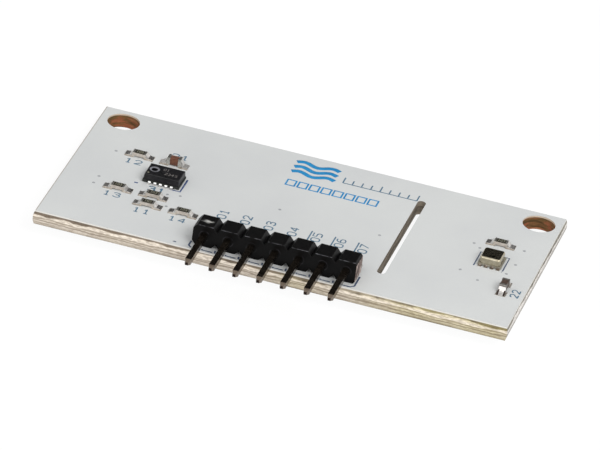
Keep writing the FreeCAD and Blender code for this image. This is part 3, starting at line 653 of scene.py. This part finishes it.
def print_strokes(name, strokes, width, material, level=BOARD_TOP, closed=False):
    """A piece of ink strokes of one width: round lines with closed ends, pressed flat on a surface."""
    curve = bpy.data.curves.new(name + "_line", "CURVE")
    curve.dimensions = "3D"
    curve.bevel_depth = width / 2 * MM
    curve.bevel_resolution = 2
    curve.use_fill_caps = True
    for stroke in strokes:
        line = curve.splines.new("POLY")
        line.points.add(len(stroke) - 1)
        line.use_cyclic_u = closed
        for point, (across, back) in zip(line.points, stroke):
            point.co = (across * MM, back * MM, 0.0, 1.0)
    holder = bpy.data.objects.new(name + "_line", curve)
    bpy.context.scene.collection.objects.link(holder)
    graph = bpy.context.evaluated_depsgraph_get()
    mesh = bpy.data.meshes.new_from_object(holder.evaluated_get(graph))
    bpy.data.objects.remove(holder)
    mesh.transform(Matrix.Diagonal((1.0, 1.0, INK_HEIGHT / width, 1.0)))
    mesh.transform(Matrix.Translation((0.0, 0.0, (level + INK_HEIGHT / 4) * MM)))
    new_piece(name, mesh, material)


# Numerals as strokes in a cell one wide and one high
NUMERALS = {
    "0": [[(0.3, 0), (0.7, 0), (0.92, 0.1), (1, 0.3), (1, 0.7), (0.92, 0.9), (0.7, 1), (0.3, 1),
           (0.08, 0.9), (0, 0.7), (0, 0.3), (0.08, 0.1), (0.3, 0)]],
    "1": [[(0.2, 0.75), (0.55, 1.03)], [(0.5, 1), (0.5, 0)], [(0.2, 0), (0.8, 0)]],
    "2": [[(0, 0.75), (0.08, 0.9), (0.3, 1), (0.7, 1), (0.92, 0.9), (1, 0.75), (0.92, 0.55), (0, 0)],
          [(-0.05, 0), (1, 0)]],
    "3": [[(0, 0.85), (0.25, 1), (0.7, 1), (0.95, 0.88), (0.95, 0.7), (0.7, 0.55), (0.35, 0.55)],
          [(0.7, 0.55), (1, 0.4), (1, 0.15), (0.75, 0), (0.25, 0), (0, 0.15)]],
    "4": [[(0.75, 0), (0.75, 1)], [(0.75, 1), (0, 0.3)], [(-0.05, 0.3), (1, 0.3)]],
    "5": [[(1, 1), (0, 1), (0, 0.58), (0.7, 0.58), (0.95, 0.45), (1, 0.3), (0.95, 0.12), (0.7, 0), (0, 0)]],
    "6": [[(0.9, 1), (0.4, 1), (0.1, 0.8), (0, 0.5), (0, 0.2), (0.2, 0), (0.75, 0), (1, 0.15), (1, 0.4),
           (0.75, 0.56), (0.1, 0.56)]],
    "7": [[(0, 1), (1.03, 1)], [(1, 1), (0.35, 0)]],
}


def number_strokes(digits, centre, width=NUMERAL_WIDTH, height=NUMERAL_HEIGHT, step=NUMERAL_STEP,
                   turned=False):
    """Strokes of a number centred on a point; turned, it reads along +Y."""
    strokes = []
    start = -(len(digits) - 1) * step / 2 - width / 2
    for index, digit in enumerate(digits):
        for stroke in NUMERALS[digit]:
            line = []
            for across, up in stroke:
                along = start + index * step + across * width
                rise = (up - 0.5) * height
                shift = (-rise, along) if turned else (along, rise)
                line.append((centre[0] + shift[0], centre[1] + shift[1]))
            strokes.append(line)
    return strokes


def make_chip_numbers():
    """A plain number beside most chip parts, and one in front of the gas sensor."""
    strokes = []
    for index, chip in enumerate(RESISTORS[:4]):
        spot = middle(chip)
        strokes += number_strokes("1%d" % (index + 1), (spot.x + LABEL_SHIFT_X, spot.y + LABEL_SHIFT_Y))
    first = middle("capacitor_1_ceramic")
    strokes += number_strokes("21", (first.x + 0.1, first.y + 1.9))
    second = middle("capacitor_2_ceramic")
    strokes += number_strokes("22", (second.x + 1.35, second.y - 0.4), 0.62, 0.8, 0.95, turned=True)
    print_strokes("chip_numbers", strokes, THIN_LINE, SLATE_INK)
    spot = (middle("gas_sensor_base").x - 0.15, low("gas_sensor_base").y - 0.95)
    print_strokes("gas_sensor_number", number_strokes("31", spot), BOLD_LINE, SLATE_INK)


def make_pin_numbers():
    """Numbers behind the header, with a bar beside the last three."""
    centre_y = high("header_housing").y + 5.2
    strokes = []
    for index, pin in enumerate(PINS):
        column = middle(pin).x - 0.05
        strokes += number_strokes("0%d" % (index + 1), (column, centre_y), turned=True)
        if index > 3:
            strokes.append([(column - 0.75, centre_y - 1.0), (column - 0.75, centre_y + 1.1)])
    print_strokes("pin_numbers", strokes, THIN_LINE, SLATE_INK)


def make_header_outline():
    """Printed outline of the header: side lines, a dash at every way and a mark at its left."""
    left = low("header_housing").x - 0.15
    right = high("header_housing").x + 0.1
    front = low("header_housing").y - 0.7
    corner = 0.35
    strokes = [
        [(left, front + 1.35), (left, front + corner), (left + corner, front)],
        [(right, front + 2.45), (right, front + corner), (right - corner, front), (right - 1.4, front)],
        [(left - 1.6, front + 0.35), (left - 1.35, front + 0.35)],
    ]
    for pin in PINS[:-1]:
        dash = middle(pin).x + 0.1
        notch = dash + 1.35
        strokes.append([(dash, front + 0.18), (dash, front), (dash + 1.1, front)])
        strokes.append([(notch, front + 0.45), (notch, front + 0.05), (notch + 0.15, front)])
    print_strokes("header_outline", strokes, BOLD_LINE, DARK_INK)


def make_gas_sensor_outline():
    """A printed corner at the gas sensor's right and a short line at its left."""
    left = low("gas_sensor_base").x
    right = high("gas_sensor_base").x + 0.22
    front = low("gas_sensor_base").y
    back = high("gas_sensor_base").y
    strokes = [
        [(right, back - 0.1), (right, front - 0.2), (right - 1.12, front - 0.2)],
        [(left - 0.7, front - 0.5), (left - 0.3, front - 0.5)],
    ]
    print_strokes("gas_sensor_outline", strokes, BOLD_LINE, DEEP_INK)


def make_climate_sensor_outline():
    """Printed lines at both sides of the climate sensor, and a dot by its front corner."""
    left = low("climate_sensor_base").x - 0.33
    right = high("climate_sensor_base").x + 0.25
    front = low("climate_sensor_base").y
    back = high("climate_sensor_base").y
    strokes = [
        [(left + 0.35, back + 0.35), (left, back + 0.35), (left, front - 0.25)],
        [(right - 0.35, back + 0.4), (right, back + 0.4), (right, front - 0.1)],
        [(right - 0.02, front - 0.32), (right - 0.08, front - 0.32)],
    ]
    print_strokes("climate_sensor_outline", strokes, THIN_LINE, DARK_INK)


def make_air_waves():
    """Three waves of air."""
    left, right = -3.8, 0.9
    crest = 0.3
    points = 16
    waves = []
    for row in (0.55, -0.55, -1.65):
        wave = []
        for index in range(points + 1):
            share = index / points
            wave.append((left + share * (right - left), row + crest * math.sin(share * 3 * math.pi)))
        waves.append(wave)
    print_strokes("air_waves", waves, WAVE_LINE, BRIGHT_INK)


def make_level_cells():
    """A row of empty level cells in front of the waves."""
    front, back = -4.75, -3.55
    width, step = 0.95, 1.28
    cells = []
    for index in range(8):
        left = -3.6 + index * step
        cells.append([(left, front), (left + width, front), (left + width, back), (left, back)])
    print_strokes("level_cells", cells, CELL_LINE, BRIGHT_INK, closed=True)


def make_tick_scale():
    """A plain scale beside the waves: a line of eight steps, every fourth tick longer."""
    left, right = 1.8, 9.9
    front = -1.5
    steps = 8
    strokes = [[(left, front), (right, front)]]
    for index in range(steps + 1):
        column = left + index * (right - left) / steps
        strokes.append([(column, front), (column, front + (0.9 if index % 4 else 1.2))])
    print_strokes("tick_scale", strokes, THIN_LINE, SLATE_INK)


def make_vias():
    """Small plated holes under the mask: a low disc with a dimple, on both sides of the board."""
    shape = bmesh.new()
    for across, back in VIAS:
        for level, turn in ((BOARD_TOP, 0.0), (0.0, math.pi)):
            place = Matrix.Translation((across * MM, back * MM, level * MM)) @ Matrix.Rotation(turn, 4, "X")
            made = bmesh.ops.create_cone(shape, cap_ends=True, segments=16, radius1=VIA_RADIUS * MM,
                                         radius2=(VIA_RADIUS - VIA_RISE) * MM, depth=2 * VIA_RISE * MM,
                                         matrix=place)
            outward = place.to_3x3() @ Vector((0.0, 0.0, 1.0))
            faces = {face for vert in made["verts"] for face in vert.link_faces}
            top = max(faces, key=lambda face: face.calc_center_median().dot(outward))
            bmesh.ops.inset_region(shape, faces=[top], thickness=VIA_RIM * MM, depth=0.0)
            bmesh.ops.inset_region(shape, faces=[top], thickness=VIA_RISE * MM, depth=0.0)
            bmesh.ops.translate(shape, verts=top.verts, vec=outward * -VIA_RISE / 2 * MM)
    new_piece("plated_vias", mesh_from("plated_vias", shape), VIA_MASK)


def make_resistor_numbers():
    """Three small numerals on top of each resistor."""
    strokes = []
    for chip in RESISTOR_TOPS:
        spot = middle(chip)
        strokes += number_strokes("103", (spot.x, spot.y), 0.17, 0.38, 0.26)
    print_strokes("resistor_numbers", strokes, 0.05, PALE_INK, high(RESISTOR_TOPS[0]).z)


def make_cover_marks():
    """Two rows of plain numerals, faintly marked on the gas sensor's cover."""
    cover = middle("gas_sensor_cover")
    strokes = number_strokes("01", (cover.x + 0.05, cover.y + 0.45), 0.22, 0.42, 0.36)
    strokes += number_strokes("2345", (cover.x + 0.75, cover.y - 0.35), 0.22, 0.42, 0.36)
    top = high("gas_sensor_cover").z
    print_strokes("gas_cover_numbers", strokes, 0.06, FAINT_MARK, top)


def make_cover_dot():
    """A small raised dot beside the gas sensor's vent."""
    cover = middle("gas_sensor_cover")
    level = high("gas_sensor_cover").z - INK_HEIGHT / 2
    place = Matrix.Translation(((cover.x - 1.58) * MM, (cover.y - 0.85) * MM, level * MM))
    shape = bmesh.new()
    bmesh.ops.create_cone(shape, cap_ends=True, segments=24, radius1=0.12 * MM, radius2=0.11 * MM,
                          depth=INK_HEIGHT * MM * 1.6, matrix=place)
    new_piece("gas_cover_dot", mesh_from("gas_cover_dot", shape), PALE_INK)


# Studio

def direction(azimuth, elevation):
    """A unit vector out of the module, at angles in degrees; azimuth 0 is the front and 90 the right."""
    side, rise = math.radians(azimuth), math.radians(elevation)
    return Vector((math.sin(side) * math.cos(rise), -math.cos(side) * math.cos(rise), math.sin(rise)))


def make_card(name, half_width, turn, shift):
    """A flat square of the studio, turned and then shifted."""
    shape = bmesh.new()
    bmesh.ops.create_grid(shape, x_segments=1, y_segments=1, size=half_width * MM)
    bmesh.ops.rotate(shape, verts=shape.verts, matrix=turn)
    bmesh.ops.translate(shape, verts=shape.verts, vec=shift * MM)
    mesh = bpy.data.meshes.new(name)
    shape.to_mesh(mesh)
    shape.free()
    card = bpy.data.objects.new(name, mesh)
    bpy.context.scene.collection.objects.link(card)
    return card


def new_matte(name, grey):
    """A plain matte material of one grey."""
    material, tree, shader = new_material(name)
    shader.inputs["Base Color"].default_value = (grey, grey, grey, 1.0)
    shader.inputs["Roughness"].default_value = 0.9
    shader.inputs["Specular IOR Level"].default_value = 0.0
    return material, tree, shader


def seen_mask(tree):
    """1 for rays of the camera, and for those that metal or glass sends on."""
    rays = add(tree, "ShaderNodeLightPath").outputs
    seen = calc(tree, "MAXIMUM", rays["Is Camera Ray"], rays["Is Glossy Ray"])
    return calc(tree, "MAXIMUM", seen, rays["Is Transmission Ray"])


def make_floor():
    """White floor on which the module rests, tilted on its pin tails and back edge; clear from below."""
    score_inset = 0.14
    tail_back = 0.15
    back_edge = BOARD_BACK - score_inset
    tilt = math.atan2(-low(PINS[0]).z, back_edge - (ROW_Y + tail_back))
    floor = make_card("floor", 1600.0, Matrix.Rotation(tilt, 3, "X"), Vector((0.0, back_edge, 0.0)))
    material, tree, shader = new_matte("white_floor", 0.9)
    glow = add(tree, "ShaderNodeEmission", inputs={"Color": (1.0, 1.0, 1.0, 1.0), "Strength": 1.04})
    glow_share, more_if_seen = 0.6, 0.25
    share = calc(tree, "ADD", glow_share, times(tree, seen_mask(tree), more_if_seen))
    white = add(tree, "ShaderNodeMixShader", inputs={0: share, 1: shader.outputs[0], 2: glow.outputs[0]})
    clear = add(tree, "ShaderNodeBsdfTransparent")
    under = add(tree, "ShaderNodeNewGeometry").outputs["Backfacing"]
    mix = add(tree, "ShaderNodeMixShader", inputs={0: under, 1: white.outputs[0], 2: clear.outputs[0]})
    tree.links.new(mix.outputs[0], tree.nodes["Material Output"].inputs["Surface"])
    dress(floor, material)


def make_dark_card():
    """A dark card behind the module, which upward-facing metal mirrors and the camera doesn't see."""
    half_width = 170.0
    reach = 450.0
    away = direction(VIEW_AZIMUTH + 180.0, VIEW_ELEVATION)
    card = make_card("dark_card", half_width, away.to_track_quat("Z", "Y").to_matrix(), away * reach)
    card.visible_camera = False
    card.visible_diffuse = False
    card.visible_shadow = False
    dress(card, new_matte("black_card", 0.02)[0])


def make_world():
    """Even white surroundings: full white where seen or mirrored, softer as light."""
    world = bpy.data.worlds.new("studio")
    bpy.context.scene.world = world
    world.use_nodes = True
    tree = world.node_tree
    light, more_if_seen = 0.56, 0.44
    strength = calc(tree, "ADD", light, times(tree, seen_mask(tree), more_if_seen))
    background = tree.nodes["Background"]
    background.inputs["Color"].default_value = (1.0, 1.0, 1.0, 1.0)
    tree.links.new(strength, background.inputs["Strength"])


def make_lamp(name, azimuth, elevation, size, power):
    """A square soft lamp that looks at the module from a direction; its power is in watts."""
    reach = 600.0
    toward = direction(azimuth, elevation)
    data = bpy.data.lights.new(name, "AREA")
    data.size = size * MM
    data.energy = power
    lamp = bpy.data.objects.new(name, data)
    lamp.location = toward * reach * MM
    lamp.rotation_euler = toward.to_track_quat("Z", "Y").to_euler()
    bpy.context.scene.collection.objects.link(lamp)


def make_camera():
    """The photograph's own view."""
    back = direction(VIEW_AZIMUTH, VIEW_ELEVATION)
    right = direction(VIEW_AZIMUTH + 90.0, 0.0)
    level = Matrix((right, back.cross(right), back)).transposed()
    turn = Matrix.Rotation(math.radians(VIEW_ROLL), 3, back) @ level
    data = bpy.data.cameras.new("photo_camera")
    data.sensor_width = SENSOR_WIDTH
    data.lens = FOCAL_PIXELS * SENSOR_WIDTH / IMAGE_WIDTH
    data.shift_x = -(CENTRE_PIXEL[0] - IMAGE_WIDTH / 2) / IMAGE_WIDTH
    data.shift_y = (CENTRE_PIXEL[1] - IMAGE_HEIGHT / 2) / IMAGE_WIDTH
    data.clip_start = 0.01
    data.clip_end = 50.0
    camera = bpy.data.objects.new("photo_camera", data)
    spot = (Vector(VIEW_TARGET) + back * VIEW_DISTANCE) * MM
    camera.matrix_world = Matrix.Translation(spot) @ turn.to_4x4()
    bpy.context.scene.collection.objects.link(camera)
    bpy.context.scene.camera = camera


bpy.context.scene.view_settings.view_transform = "Standard"
dress_packed_pieces()
make_chip_numbers()
make_pin_numbers()
make_header_outline()
make_gas_sensor_outline()
make_climate_sensor_outline()
make_air_waves()
make_level_cells()
make_tick_scale()
make_vias()
make_resistor_numbers()
make_cover_marks()
make_cover_dot()
make_floor()
make_dark_card()
make_world()
make_lamp("key_lamp", 50.0, 45.0, 350.0, 1.9)
make_lamp("front_lamp", -15.0, 28.0, 700.0, 1.3)
make_camera()
